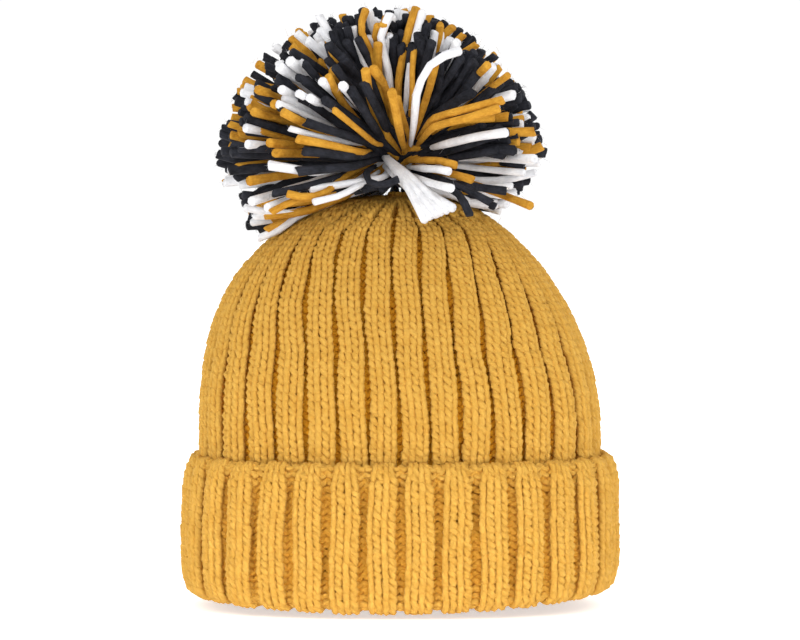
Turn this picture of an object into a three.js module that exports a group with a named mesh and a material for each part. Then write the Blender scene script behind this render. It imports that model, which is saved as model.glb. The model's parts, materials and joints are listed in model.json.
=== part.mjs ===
// A rib-knit beanie with a turned-up cuff and a three-colour yarn pom-pom.
//
// Millimetres, +Z up. The hat stands on its folded brim, opened to the oval of a head, and the
// wearer faces -Y. The origin is on the floor, under the middle of the head opening.

import * as THREE from 'three';
import { mergeVertices } from 'three/addons/utils/BufferGeometryUtils.js';

// ---- Driving dimensions ------------------------------------------------------------------

const GAP = 0.3; // clearance between two pieces that touch
const FABRIC = 6.7; // thickness of one layer of rib knit
const YARN_RADIUS = 1.3; // the yarn that gathers, ties and anchors

const BAND_HALF_WIDTH = 101.7; // outside of the layer that touches the head, measured along X
const NARROWING = 20; // the head's oval is this much less from front to back, on each side
const OVAL_POWER = 2.5; // 2 is an ellipse, and more is squarer
const ROUND_POWER = 2; // the section at the very top of the crown
const OVAL_STEPS = 48; // facets round the hat

const SHOULDER_Z = 86; // the straight side ends here and the dome starts
const DOME_HALF_WIDTH = 100.5;
const DOME_RISE = 122.5;
const DOME_POWER = 2.25; // the dome's outline is a superellipse
const DOME_STEPS = 9;
const CROWN_HOLE_RADIUS = 7; // what the gathering yarn leaves open
const ROUNDING_RADIUS = 60; // nearer the axis than this, the oval turns into a circle

const CUFF_HEIGHT = 77.5;
const CUFF_HALF_WIDTH = 109.5;
const BAND_TOP_Z = CUFF_HEIGHT - 4; // above this the side leans in to meet the dome
const FOLD_FLAT = 2.5; // width of the flat strip that each layer rests on at the fold
const FOLD_ROUND_HEIGHT = 9; // height of the rounded fold inside the brim
const FOLD_ROUNDING = 1.2; // how far the inside of the fold is rounded off at a third of that

// The outside of the cuff from the fold up to its edge: how far in from its widest, and height.
const CUFF_SIDE = [
  [2, 5.4],
  [0.5, 16.2],
  [0, 25.6],
  [0.5, 51.2],
  [2, CUFF_HEIGHT - 4],
  [4, CUFF_HEIGHT],
];
const CUFF_LIP = { width: 1.5, height: 3 }; // the bevel along the cuff's edge, next to the body

const TIE_Z = 224; // middle of the pom-pom, where its strands are tied
const TIE_RING_RADIUS = 8;
const TAIL_SIDES = 10;
const TAIL_END_DEPTH = 1.5 * FABRIC; // the tie's ends reach this far below the top of the crown
const KNOT_RADIUS = 5;
const KNOT_FLATNESS = 0.7; // its height as a share of its width
const KNOT_DEPTH = 2 * FABRIC + 1.5; // its middle is this far below the top of the crown
const STRAND_REACH = 82; // from the tie to the cut ends of the strands
const LEAN = 9; // strands are this much longer on the left than on average
const TOP_TRIM = 2.3; // and this much shorter at the top
const TUFT_SIDES = 8;
const TUFT_SHOULDER = 0.92; // a tuft is at its widest at this share of its reach
const TUFT_FACE = 0.6; // its cut end's width, as a share of its spread

const SEAM_RADIUS = 1.8;
const SEAM_STEPS = 26;
const SEAM_SIDES = 8;

// The oval wall curves inwards by the label's inset before the label's free end.
const LABEL = { width: 28, height: 20, thickness: 1, z: 44, inset: 2.6 };

const RING_STEPS = 24;
const RING_SIDES = 8;
const BALL_STEPS = 12;
const BALL_ROWS = 8;

// ---- Materials ---------------------------------------------------------------------------

function fabric(colour, roughness) {
  return new THREE.MeshStandardMaterial({ color: colour, roughness, metalness: 0 });
}

const MUSTARD_KNIT = fabric('#e0a640', 0.95);
const MUSTARD_YARN = fabric('#cf9228', 0.95);
const NAVY_YARN = fabric('#23252d', 0.95);
const WHITE_YARN = fabric('#eeebe6', 0.95);
const LABEL_CLOTH = fabric('#f4f2ee', 0.6);

// ---- The oval of the head ----------------------------------------------------------------

// 1 all the way up the straight side, falling to 0 at the top of the dome.
function ovalShare(z) {
  const rise = Math.min(Math.max((z - SHOULDER_Z) / DOME_RISE, 0), 1);
  return Math.sqrt(1 - rise * rise);
}

// Half of the front-to-back size at a height, where the half-width is given.
function halfDepth(halfWidth, z) {
  const fade = Math.min(halfWidth / ROUNDING_RADIUS, 1);
  return halfWidth - NARROWING * ovalShare(z) * fade;
}

// Moves a point of a round solid to its place on the oval one.
function pressToOval(point) {
  const halfWidth = Math.hypot(point.x, point.y);
  const angle = Math.atan2(point.y, point.x);
  const power = ROUND_POWER + (OVAL_POWER - ROUND_POWER) * ovalShare(point.z);
  const across = Math.abs(Math.cos(angle)) ** power;
  const along = Math.abs(Math.sin(angle)) ** power;
  const bulge = (across + along) ** (-1 / power);
  point.x = halfWidth * bulge * Math.cos(angle);
  point.y = halfDepth(halfWidth, point.z) * bulge * Math.sin(angle);
}

// Turns an outline of [half-width, height] pairs into a closed oval shell.
function ovalShell(outline) {
  const profile = outline.map(([halfWidth, z]) => new THREE.Vector2(halfWidth, z));
  profile.push(profile[0].clone());
  const lathe = new THREE.LatheGeometry(profile, OVAL_STEPS);
  lathe.rotateX(Math.PI / 2);
  lathe.deleteAttribute('normal');
  lathe.deleteAttribute('uv');
  const shell = mergeVertices(lathe);
  const position = shell.attributes.position;
  const point = new THREE.Vector3();
  for (let i = 0; i < position.count; i += 1) {
    point.fromBufferAttribute(position, i);
    pressToOval(point);
    position.setXYZ(i, point.x, point.y, point.z);
  }
  shell.computeVertexNormals();
  return shell;
}

// The dome's outline from the shoulder up to the hole in the crown, as [half-width, height].
function domeOutline(inset) {
  const halfWidth = DOME_HALF_WIDTH - inset;
  const rise = DOME_RISE - inset;
  const points = [];
  for (let i = 0; i <= DOME_STEPS; i += 1) {
    const turn = (i / DOME_STEPS) * (Math.PI / 2);
    const out = halfWidth * Math.cos(turn) ** (2 / DOME_POWER);
    const up = rise * Math.sin(turn) ** (2 / DOME_POWER);
    points.push([Math.max(out, CROWN_HOLE_RADIUS), SHOULDER_Z + up]);
  }
  return points;
}

// ---- Making meshes -----------------------------------------------------------------------

function piece(name, geometry, material) {
  const mesh = new THREE.Mesh(geometry, material);
  mesh.name = name;
  return mesh;
}

function ring(radius, thickness) {
  return new THREE.TorusGeometry(radius, thickness, RING_SIDES, RING_STEPS);
}

function ball(radius) {
  return new THREE.SphereGeometry(radius, BALL_STEPS, BALL_ROWS);
}

// ---- The knitted hat ---------------------------------------------------------------------

// The inside layer of the brim, the sides and the dome: one layer of fabric.
function makeRibbedBody() {
  const inner = BAND_HALF_WIDTH - FABRIC;
  const outline = [
    [BAND_HALF_WIDTH - FOLD_FLAT - GAP, 0],
    [BAND_HALF_WIDTH, 0],
    [BAND_HALF_WIDTH, BAND_TOP_Z],
    ...domeOutline(0),
    ...domeOutline(FABRIC).reverse(),
    [inner, BAND_TOP_Z],
    [inner, FOLD_ROUND_HEIGHT],
    [inner + FOLD_ROUNDING, FOLD_ROUND_HEIGHT / 3],
  ];
  return piece('ribbed_body', ovalShell(outline), MUSTARD_KNIT);
}

// The brim folded up on the outside. Its top edge is where the knitting was cast on.
function makeCuff() {
  const inside = BAND_HALF_WIDTH + GAP;
  const outline = [
    [inside, 0],
    [inside + FOLD_FLAT, 0],
    ...CUFF_SIDE.map(([inset, z]) => [CUFF_HALF_WIDTH - inset, z]),
    [inside + CUFF_LIP.width, CUFF_HEIGHT],
    [inside, CUFF_HEIGHT - CUFF_LIP.height],
  ];
  return piece('turned_up_cuff', ovalShell(outline), MUSTARD_KNIT);
}

// The yarn drawn through the last row of loops to close the crown.
function makeGatheringYarn() {
  const radius = CROWN_HOLE_RADIUS - 3 * GAP - YARN_RADIUS; // the hole is slightly oval
  const mesh = piece('crown_gathering_yarn', ring(radius, YARN_RADIUS), MUSTARD_YARN);
  mesh.position.z = SHOULDER_Z + DOME_RISE - FABRIC / 2;
  return mesh;
}

// The sewn seam that closes the fabric into a tube: a ridge down the inside of the back.
function makeBackSeam() {
  const clearance = SEAM_RADIUS + 2 * GAP;
  const inner = BAND_HALF_WIDTH - FABRIC;
  const wall = [
    [inner, FOLD_ROUND_HEIGHT],
    [inner, CUFF_HEIGHT / 2],
    ...domeOutline(FABRIC).slice(0, -2),
  ];
  const route = wall.map(([halfWidth, z]) => {
    const inward = halfDepth(halfWidth - clearance, z);
    const lower = (clearance * Math.max(z - SHOULDER_Z, 0)) / DOME_RISE;
    return new THREE.Vector3(0, inward - lower / 2, z - lower);
  });
  const section = new THREE.Shape();
  section.absarc(0, 0, SEAM_RADIUS, 0, 2 * Math.PI);
  const seam = new THREE.ExtrudeGeometry(section, {
    steps: SEAM_STEPS,
    curveSegments: SEAM_SIDES,
    bevelEnabled: false,
    extrudePath: new THREE.CatmullRomCurve3(route),
  });
  return piece('back_seam', seam, MUSTARD_YARN);
}

// A blank woven label, caught in the seam by one end and lying against the inside of the back.
function makeCareLabel() {
  const box = new THREE.BoxGeometry(LABEL.width, LABEL.thickness, LABEL.height);
  const mesh = piece('care_label', box, LABEL_CLOTH);
  const wall = halfDepth(BAND_HALF_WIDTH - FABRIC, LABEL.z);
  mesh.position.x = SEAM_RADIUS + GAP + LABEL.width / 2;
  mesh.position.y = wall - LABEL.inset - LABEL.thickness;
  mesh.position.z = LABEL.z;
  return mesh;
}

// ---- The pom-pom's tie and anchor --------------------------------------------------------

// The knot under the crown that stops the tie's ends from pulling out.
function makeAnchorKnot() {
  const knot = piece('anchor_knot', ball(KNOT_RADIUS), NAVY_YARN);
  knot.scale.z = KNOT_FLATNESS;
  knot.position.z = SHOULDER_Z + DOME_RISE - KNOT_DEPTH;
  return knot;
}

// The two ends of the tie, going down side by side through the hole in the crown.
function makeAnchorTails() {
  const top = TIE_Z - TIE_RING_RADIUS - YARN_RADIUS - 2 * GAP;
  const bottom = SHOULDER_Z + DOME_RISE - TAIL_END_DEPTH;
  const radius = YARN_RADIUS - GAP / 2;
  return ['left', 'right'].map((side, index) => {
    const tail = new THREE.CylinderGeometry(radius, radius, top - bottom, TAIL_SIDES);
    tail.rotateX(Math.PI / 2);
    const mesh = piece(`anchor_tail_${side}`, tail, NAVY_YARN);
    mesh.position.set((index * 2 - 1) * YARN_RADIUS, 0, (top + bottom) / 2);
    return mesh;
  });
}

// The cord wrapped round the middle of the strands. Its ring faces the front.
function makeTieWrap() {
  const mesh = piece('tie_wrap', ring(TIE_RING_RADIUS, YARN_RADIUS), NAVY_YARN);
  mesh.rotation.x = Math.PI / 2;
  mesh.position.z = TIE_Z;
  return mesh;
}

// The middles of all the strands, bound tight inside the tie.
function makeCore() {
  const radius = TIE_RING_RADIUS - YARN_RADIUS - GAP;
  const mesh = piece('bound_strand_middles', ball(radius), NAVY_YARN);
  mesh.position.z = TIE_Z;
  return mesh;
}

// ---- The pom-pom's strands, in tufts -----------------------------------------------------

const COLOURS = [NAVY_YARN, WHITE_YARN, NAVY_YARN, MUSTARD_YARN];

// Each row is a ring of tufts round the tie. Angles are in degrees, elevation above level.
const TUFT_ROWS = [
  { name: 'low', count: 12, elevation: -19, start: 18, wide: 12, tall: 6, turn: 0, colour: 0 },
  { name: 'middle', count: 11, elevation: 24, start: 13, wide: 11.5, tall: 11.5, turn: 10, colour: 2 },
  { name: 'high', count: 8, elevation: 50, start: 13, wide: 12.5, tall: 12.5, turn: 20, colour: 1 },
  { name: 'top', count: 3, elevation: 76, start: 13, wide: 11, tall: 11, turn: 45, colour: 3 },
];

// From the tie to the cut ends, in a direction: longer to the left and shorter upwards.
function strandReach(azimuth, elevation) {
  const sideways = LEAN * Math.cos(azimuth) * Math.cos(elevation);
  return STRAND_REACH - sideways - TOP_TRIM * Math.max(Math.sin(elevation), 0);
}

// A bundle of strands that widens from the tie and is blunt where it is cut, along +X.
function tuftGeometry(start, reach, wide, tall) {
  const spread = Math.tan(wide);
  const profile = [
    [0, start],
    [start * spread, start],
    [TUFT_SHOULDER * reach * spread, TUFT_SHOULDER * reach],
    [TUFT_FACE * reach * spread, reach],
    [0, reach],
  ].map(([radius, along]) => new THREE.Vector2(radius, along));
  const tuft = new THREE.LatheGeometry(profile, TUFT_SIDES);
  tuft.rotateZ(-Math.PI / 2);
  tuft.scale(1, 1, Math.tan(tall) / spread);
  return tuft;
}

function makeTuft(row, index) {
  const azimuth = THREE.MathUtils.degToRad(row.turn) + (index / row.count) * 2 * Math.PI;
  const elevation = THREE.MathUtils.degToRad(row.elevation);
  const reach = strandReach(azimuth, elevation);
  const wide = THREE.MathUtils.degToRad(row.wide);
  const tall = THREE.MathUtils.degToRad(row.tall);
  const material = COLOURS[(index + row.colour) % COLOURS.length];
  const name = `pom_tuft_${row.name}_${String(index + 1).padStart(2, '0')}`;
  const mesh = piece(name, tuftGeometry(row.start, reach, wide, tall), material);
  mesh.rotation.y = -elevation;
  const turntable = new THREE.Group();
  turntable.rotation.z = azimuth;
  turntable.add(mesh);
  return turntable;
}

function makePomPom() {
  const tufts = new THREE.Group();
  tufts.position.z = TIE_Z;
  for (const row of TUFT_ROWS) {
    for (let index = 0; index < row.count; index += 1) {
      tufts.add(makeTuft(row, index));
    }
  }
  return tufts;
}

// ---- The whole hat -----------------------------------------------------------------------

const group = new THREE.Group();
group.add(makeRibbedBody(), makeCuff(), makeGatheringYarn(), makeBackSeam(), makeCareLabel());
group.add(makeAnchorKnot(), ...makeAnchorTails(), makeTieWrap(), makeCore());
group.add(makePomPom());

export default group;
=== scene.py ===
"""The looks of a rib-knit beanie with a yarn pom-pom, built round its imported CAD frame.

Lengths are in millimetres until a mesh is made, and angles in radians. Side A of the fabric is
the outside of the hat's body, and the inside of the turned-up cuff.
"""

import json
import math

import bpy
import numpy as np
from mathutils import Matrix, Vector


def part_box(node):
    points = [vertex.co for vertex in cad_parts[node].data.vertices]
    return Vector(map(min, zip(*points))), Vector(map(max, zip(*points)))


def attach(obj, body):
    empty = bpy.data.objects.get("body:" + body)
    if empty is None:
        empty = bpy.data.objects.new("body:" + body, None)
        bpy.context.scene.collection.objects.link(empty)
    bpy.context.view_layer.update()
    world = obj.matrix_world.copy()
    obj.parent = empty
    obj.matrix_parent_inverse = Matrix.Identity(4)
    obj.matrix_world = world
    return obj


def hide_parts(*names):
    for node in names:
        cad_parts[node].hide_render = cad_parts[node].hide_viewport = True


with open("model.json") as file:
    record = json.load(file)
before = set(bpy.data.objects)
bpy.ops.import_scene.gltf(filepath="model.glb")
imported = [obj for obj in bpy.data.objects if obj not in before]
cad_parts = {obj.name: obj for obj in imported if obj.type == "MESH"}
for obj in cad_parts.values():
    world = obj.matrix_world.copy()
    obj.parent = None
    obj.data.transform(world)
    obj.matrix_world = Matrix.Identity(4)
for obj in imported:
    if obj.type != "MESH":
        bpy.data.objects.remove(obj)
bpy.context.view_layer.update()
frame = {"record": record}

MM = 0.001
FULL_TURN = 2 * math.pi


def node_box(node):
    """Lowest and highest corner of a CAD node, in millimetres."""
    low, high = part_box(node)
    return np.array(low) / MM, np.array(high) / MM


def node_middle(node):
    """The middle of a CAD node's box, and half its size."""
    low, high = node_box(node)
    return (low + high) / 2, (high - low) / 2


def turns(count):
    """Angles evenly round a circle."""
    return np.linspace(0, FULL_TURN, count, endpoint=False)


SLOT_OF = {part["node"]: part["material_slot"] for part in frame["record"]["subparts"]}

# ---- Sizes ----

CUFF_HALF_WIDTH, _, CUFF_TOP = node_box("turned_up_cuff")[1]
BAND_HALF_WIDTH, BAND_HALF_DEPTH, CROWN_TOP = node_box("ribbed_body")[1]
TIE = node_middle("tie_wrap")[0]

NARROWING = BAND_HALF_WIDTH - BAND_HALF_DEPTH
SHOULDER_Z = 86.0  # the straight side ends here and the dome starts
DOME_HALF_WIDTH = BAND_HALF_WIDTH - 1.2
DOME_RISE = CROWN_TOP - SHOULDER_Z
DOME_POWER = 2.1
OVAL_POWER = 2.5
ROUND_POWER = 2.0
ROUNDING_RADIUS = 60.0  # nearer the axis than this, the oval turns into a circle

HALF_FABRIC = 4.8  # from the middle of the fabric to the outside of its ribs
YARN = 1.8  # radius of the knitting yarn
CUFF_ROW = 3.55  # height of one row of stitches on the cuff
BODY_ROW = 3.85
RIBS = 34
CROWN_END = 11.0  # half-width at which the last row of knitting lies
OUTLINE_STEP = 0.5
SECTION_POINTS = 1441

# The cuff's side: its edge curls in at the top, and it bulges a little above the fold. Insets are
# from the cuff's half-width.
CURL_TURN = 0.62 * math.pi
CURL_INSET, CURL_Z = -4.4, 71.6
CURL_ACROSS, CURL_UP = 2.2, 3.0
CUFF_SIDE = ((-1.5, 64), (-0.9, 54), (-0.3, 42), (0, 28), (-0.3, 14))
FOLD_INSET = 0.8
STRAIGHT_SPARE = 4.0  # what the inner layer's straight side leaves for the curves at its ends


# ---- The fabric's surface ----

def oval_share(z):
    """1 all the way up the straight side, falling to 0 at the top of the dome."""
    rise = np.clip((z - SHOULDER_Z) / DOME_RISE, 0, 1)
    return np.sqrt(1 - rise * rise)


def section_point(angle, half_width, z, recess):
    """A point on the oval section of that half-width at that height."""
    share = oval_share(z)
    narrowing = NARROWING * share * np.minimum(half_width / ROUNDING_RADIUS, 1)
    half_depth = half_width - narrowing - recess
    power = ROUND_POWER + (OVAL_POWER - ROUND_POWER) * share
    across, along = np.cos(angle), np.sin(angle)
    bulge = (np.abs(across) ** power + np.abs(along) ** power) ** (-1 / power)
    return half_width * bulge * across, half_depth * bulge * along


SOFTENING = np.hanning(13) / np.hanning(13).sum()


def softened(line, **padding):
    """A row of numbers with its corners rounded off."""
    return np.convolve(np.pad(line, len(SOFTENING) // 2, **padding), SOFTENING, "valid")


def fabric_outline():
    """The fabric's middle from the cast-on edge, down the cuff and up to the crown: how far
    along it each point is, its half-width and its height."""
    cuff = CUFF_HALF_WIDTH - HALF_FABRIC
    band = BAND_HALF_WIDTH - HALF_FABRIC
    body = DOME_HALF_WIDTH - HALF_FABRIC
    cuff_side = [(CURL_INSET + CURL_ACROSS * math.cos(turn), CURL_Z + CURL_UP * math.sin(turn))
                 for turn in np.linspace(CURL_TURN, 0, 7)]
    cuff_side += CUFF_SIDE
    fold_radius = (cuff - FOLD_INSET - band) / 2
    fold_z = fold_radius + HALF_FABRIC
    fold = np.linspace(0, math.pi, 12)
    dome = np.linspace(0, math.pi / 2, 60)[:-1]
    out = np.concatenate([
        [cuff + inset for inset, _ in cuff_side],
        band + fold_radius * (1 + np.cos(fold)),
        np.linspace(band, body, 12),
        body * np.cos(dome) ** (2 / DOME_POWER),
    ])
    up = np.concatenate([
        [z for _, z in cuff_side],
        fold_z - fold_radius * np.sin(fold),
        np.linspace(fold_z + STRAIGHT_SPARE, CUFF_TOP - STRAIGHT_SPARE, 12),
        SHOULDER_Z + (DOME_RISE - HALF_FABRIC) * np.sin(dome) ** (2 / DOME_POWER),
    ])
    walk = np.concatenate([[0], np.cumsum(np.hypot(np.diff(out), np.diff(up)))])
    even = np.arange(0, walk[-1], OUTLINE_STEP)
    return even, *(softened(np.interp(even, walk, line), mode="edge") for line in (out, up))


OUTLINE_WALK, OUTLINE_OUT, OUTLINE_UP = fabric_outline()
FOLD_POINT = int(np.argmin(OUTLINE_UP))
FOLD_WALK = float(OUTLINE_WALK[FOLD_POINT])
PAST_FOLD = FOLD_POINT + int(30 / OUTLINE_STEP)  # from here on, the half-width only shrinks


def body_walk(z):
    """How far along the outline the brim's inner layer and the body are at a height."""
    return float(np.interp(z, OUTLINE_UP[FOLD_POINT:], OUTLINE_WALK[FOLD_POINT:]))


def crown_walk(half_width):
    """How far along the outline the crown is at a half-width."""
    return float(np.interp(-half_width, -OUTLINE_OUT[PAST_FOLD:], OUTLINE_WALK[PAST_FOLD:]))


RECESS_WALKS = (FOLD_WALK, body_walk(70), body_walk(78), body_walk(112))
RECESS = (0, 3.6, 3.6, 0)  # the front and back of the body lie this far inside the cuff's edge
CROWN_LEAN = 4.0  # the dome is pushed this far to the left, most of all two thirds of the way up
LEAN_POWER = 1.7
LIFTED_LEFT = 5.0  # the brim curves up towards its left and right ends
LIFTED_RIGHT = 8.0
LIFT_POWER = 1.7
LIFTED_TO = 60.0  # from this height up, nothing is lifted
CUFF_FLARE = 2.5  # the cuff's edge stands out by this at its right end
FLARE_POWER = 5
FLARED_WALK = 32.0  # and less and less, down to here


def on_fabric(angle, walk):
    """Points in the middle of the fabric."""
    half_width = np.interp(walk, OUTLINE_WALK, OUTLINE_OUT)
    z = np.interp(walk, OUTLINE_WALK, OUTLINE_UP)
    x, y = section_point(angle, half_width, z, np.interp(walk, RECESS_WALKS, RECESS))
    rise = np.clip((z - SHOULDER_Z) / DOME_RISE, 0, 1)
    lean = CROWN_LEAN * np.sin(math.pi * rise ** LEAN_POWER)
    reach = np.abs(x) / CUFF_HALF_WIDTH
    lift = np.where(x < 0, LIFTED_LEFT, LIFTED_RIGHT) * reach ** LIFT_POWER
    lift = lift * np.clip(1 - z / LIFTED_TO, 0, 1)
    flare = np.interp(walk, (0, FLARED_WALK), (CUFF_FLARE, 0))
    flare = flare * np.where(x < 0, 0, reach ** FLARE_POWER)
    return np.stack([x - lean + flare, y, z + lift], -1)


def off_fabric(angle, walk, height):
    """Points at a height off the fabric's middle, towards side A."""
    small_turn, small_walk = 0.0001, 0.01
    middle = on_fabric(angle, walk)
    round_the_hat = on_fabric(angle + small_turn, walk) - middle
    along_the_wale = on_fabric(angle, walk + small_walk) - middle
    normal = np.cross(round_the_hat, along_the_wale)
    normal /= np.linalg.norm(normal, axis=-1, keepdims=True)
    return middle + normal * height[..., None]


def section_walk(walk):
    """Angles round the section at a place on the outline, and the walk round it to each."""
    angle = np.linspace(0, FULL_TURN, SECTION_POINTS)
    ring = on_fabric(angle, np.full_like(angle, walk))
    steps = np.linalg.norm(np.diff(ring, axis=0), axis=1)
    return angle, np.concatenate([[0], np.cumsum(steps)])


# ---- Tubes ----

def unit(vectors):
    return vectors / np.maximum(np.linalg.norm(vectors, axis=-1, keepdims=True), 1e-9)


NEARLY_UPRIGHT = 0.2  # the sine of a path's slope off vertical, below which it counts as upright


def carried_frames(paths, closed):
    """Two vectors square to each path at each point, carried along without twisting."""
    count = paths.shape[1]
    if closed:
        tangent = unit(np.roll(paths, -1, 1) - np.roll(paths, 1, 1))
    else:
        tangent = unit(np.gradient(paths, axis=1))
    side = np.empty_like(paths)
    start = np.cross(tangent[:, 0], np.array([0.0, 0.0, 1.0]))
    upright = np.linalg.norm(start, axis=-1) < NEARLY_UPRIGHT
    start[upright] = np.cross(tangent[upright, 0], np.array([1.0, 0.0, 0.0]))
    side[:, 0] = unit(start)
    for i in range(1, count):
        along = tangent[:, i]
        carried = side[:, i - 1]
        carried = carried - along * np.sum(carried * along, -1, keepdims=True)
        side[:, i] = unit(carried)
    other = np.cross(tangent, side)
    if closed:
        last = side[:, -1] - tangent[:, 0] * np.sum(side[:, -1] * tangent[:, 0], -1, keepdims=True)
        gap = np.arctan2(np.sum(last * other[:, 0], -1), np.sum(last * side[:, 0], -1))
        turn = -gap[:, None] * np.arange(count)[None, :] / count
        cos, sin = np.cos(turn)[..., None], np.sin(turn)[..., None]
        side, other = side * cos + other * sin, other * cos - side * sin
    return side, other


def tube_grid(paths, radius, sides, closed):
    """Vertices of tubes round many paths of equal length, as [path, point, side, xyz]."""
    side, other = carried_frames(paths, closed)
    turn = turns(sides)
    cos, sin = np.cos(turn)[:, None], np.sin(turn)[:, None]
    ring = side[:, :, None] * cos + other[:, :, None] * sin
    return paths[:, :, None] + ring * radius[:, :, None, None]


def tube_faces(tubes, points, sides, closed):
    """Quads that join each ring of a tube to the next, as vertex numbers."""
    spans = points if closed else points - 1
    tube, point, side = np.meshgrid(
        np.arange(tubes), np.arange(spans), np.arange(sides), indexing="ij")
    ahead, beside = (point + 1) % points, (side + 1) % sides
    base = tube * points * sides
    quad = [base + p * sides + s for p, s in
            ((point, side), (point, beside), (ahead, beside), (ahead, side))]
    return np.stack(quad, -1).reshape(-1, 4)


def tube_uvs(walk, sides, closed, points):
    """For each corner of the quads: millimetres along the yarn, and the share of a turn."""
    spans = points if closed else points - 1
    low = np.broadcast_to(walk[:, :spans, None], (walk.shape[0], spans, sides))
    high = np.broadcast_to(walk[:, 1:spans + 1, None], low.shape)
    turn = np.broadcast_to(np.arange(sides) / sides, low.shape)
    more = turn + 1 / sides
    corners = [(low, turn), (low, more), (high, more), (high, turn)]
    return np.stack([np.stack(corner, -1) for corner in corners], -2).reshape(-1, 2)


def path_walk(paths, closed):
    """Millimetres walked along each path, with the way back to the start if it is closed."""
    ahead = np.roll(paths, -1, 1) if closed else paths[:, 1:]
    behind = paths if closed else paths[:, :-1]
    steps = np.linalg.norm(ahead - behind, axis=-1)
    return np.concatenate([np.zeros((len(paths), 1)), np.cumsum(steps, 1)], 1)


def tubes(paths, radius, sides, closed):
    """Vertices, faces and yarn coordinates of tubes round many paths of equal length."""
    grid = tube_grid(paths, radius, sides, closed)
    faces = tube_faces(len(paths), paths.shape[1], sides, closed)
    uvs = tube_uvs(path_walk(paths, closed), sides, closed, paths.shape[1])
    return grid.reshape(-1, 3), faces, uvs


def joined(parts):
    """Several parts' vertices, faces and yarn coordinates as one part's."""
    counts = [len(vertices) for vertices, _, _ in parts]
    starts = np.concatenate([[0], np.cumsum(counts)[:-1]])
    return (np.concatenate([vertices for vertices, _, _ in parts]),
            np.concatenate([faces + start for (_, faces, _), start in zip(parts, starts)]),
            np.concatenate([uvs for _, _, uvs in parts]))


FIBRE_TAPER = np.array([1.0, 0.9, 0.7, 0.15])  # a loose fibre's radius, from root to tip
FIBRE_CURL = 0.35


def loose_fibres(surface, count, length, radius, seed):
    """Fine fibres that stand off a yarn's surface, rooted at random points on it."""
    random = np.random.default_rng(seed)
    root = surface[random.integers(0, len(surface), count)]
    way = unit(random.normal(0, 1, (count, 3)))
    reach = length * random.uniform(0.5, 1.2, (count, 1))
    curl = random.normal(0, FIBRE_CURL, (count, 3)) * reach
    share = np.linspace(0, 1, len(FIBRE_TAPER))[None, :, None]
    paths = root[:, None] + (way * reach)[:, None] * share + curl[:, None] * share ** 2
    radii = np.broadcast_to(radius * FIBRE_TAPER, (count, len(FIBRE_TAPER)))
    return tubes(paths, radii, 3, False)


# ---- Making objects ----

def make_mesh(name, vertices, faces, uvs, material, depth=None):
    """A smooth mesh object from vertices in millimetres and faces of four corners each. Where
    it is knitted, it also keeps each vertex's share of painted shade, in an attribute named depth."""
    mesh = bpy.data.meshes.new(name)
    mesh.vertices.add(len(vertices))
    mesh.vertices.foreach_set("co", (vertices * MM).astype(np.float32).ravel())
    mesh.loops.add(faces.size)
    mesh.loops.foreach_set("vertex_index", faces.astype(np.int32).ravel())
    mesh.polygons.add(len(faces))
    mesh.polygons.foreach_set("loop_start", np.arange(0, faces.size, 4, dtype=np.int32))
    mesh.update(calc_edges=True)
    mesh.shade_smooth()
    if uvs is not None:
        layer = mesh.uv_layers.new(name="yarn")
        layer.data.foreach_set("uv", uvs.astype(np.float32).ravel())
    if depth is not None:
        layer = mesh.attributes.new("depth", "FLOAT", "POINT")
        layer.data.foreach_set("value", depth.astype(np.float32))
    mesh.materials.append(material)
    mesh.validate()
    piece = bpy.data.objects.new(name, mesh)
    bpy.context.scene.collection.objects.link(piece)
    return piece


def settle(piece, body, slot, *nodes):
    """Hangs a piece on its body and hides the CAD nodes it stands for. The slot it is given is not
    used.
    """
    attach(piece, body)
    if nodes:
        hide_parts(*nodes)
    return piece


# ---- Knitting ----

LEG_DEPTH = 0.9  # legs stand twice this off the row's own line, to their side of the fabric
LOOP_REACH = 0.80  # half a loop's height, as a share of a row
BEADED_SLANT = 0.48  # how far a slanting leg leans, as a share of half a wale
SMOOTH_SLANT = 0.16  # this slant keeps a leg upright
WIDEST_WALE = 7.0
FULL_HALF_WALE = 2.6  # narrower wales than this have shallower loops
LINK_SQUEEZE = 0.05  # loops squeeze each other by this share of the yarn where they link
SWAY, SWAY_LENGTH = 0.45, 9.5  # each rib sways from side to side on its way up
NEXT_SWAY = 2.4  # radians from one rib's sway to the next one's
KNIT_FIBRE_LENGTH, KNIT_FIBRE = 3.2, 0.07  # loose fibres, and their radius

# Narrow wales squeeze the yarn's radius to a share of half their width and a little more.
YARN_SHARE, YARN_SPARE = 0.48, 0.25
THINNEST_YARN = 1.05

# How much stitches differ from each other.
UNEVEN_SLANT = 0.22
UNEVEN_SIDE = 0.16
UNEVEN_DEPTH = 0.18
UNEVEN_HEIGHT = 0.2
UNEVEN_YARN = 0.035
UNEVEN_EDGE, EDGE_RIPPLE = 0.45, 0.55  # the cast-on edge is less even still
RIPPLE_STEPS = (0.55, 0.23)  # radians of its two ripples from one stitch to the next

# Painted shade deep in the ribs' valleys: it starts at this height and is full this much lower.
PAINTED_SHADE_FROM = 0.5  # yarn less high off the fabric's middle than this starts to take painted shade
PAINTED_SHADE_RANGE = 2.0

# Rows of stitches are counted from the cast-on edge.
EDGE_WALK = 1.0
FOLD_ROW = int(round((FOLD_WALK - EDGE_WALK) / CUFF_ROW))


def row_walk(row):
    """How far along the outline a row lies."""
    on_cuff = min(row, FOLD_ROW)
    return EDGE_WALK + on_cuff * CUFF_ROW + (row - on_cuff) * BODY_ROW


def body_row(walk):
    """The row above the fold that is nearest to a place on the outline."""
    return FOLD_ROW + int(round((walk - row_walk(FOLD_ROW)) / BODY_ROW))


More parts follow.
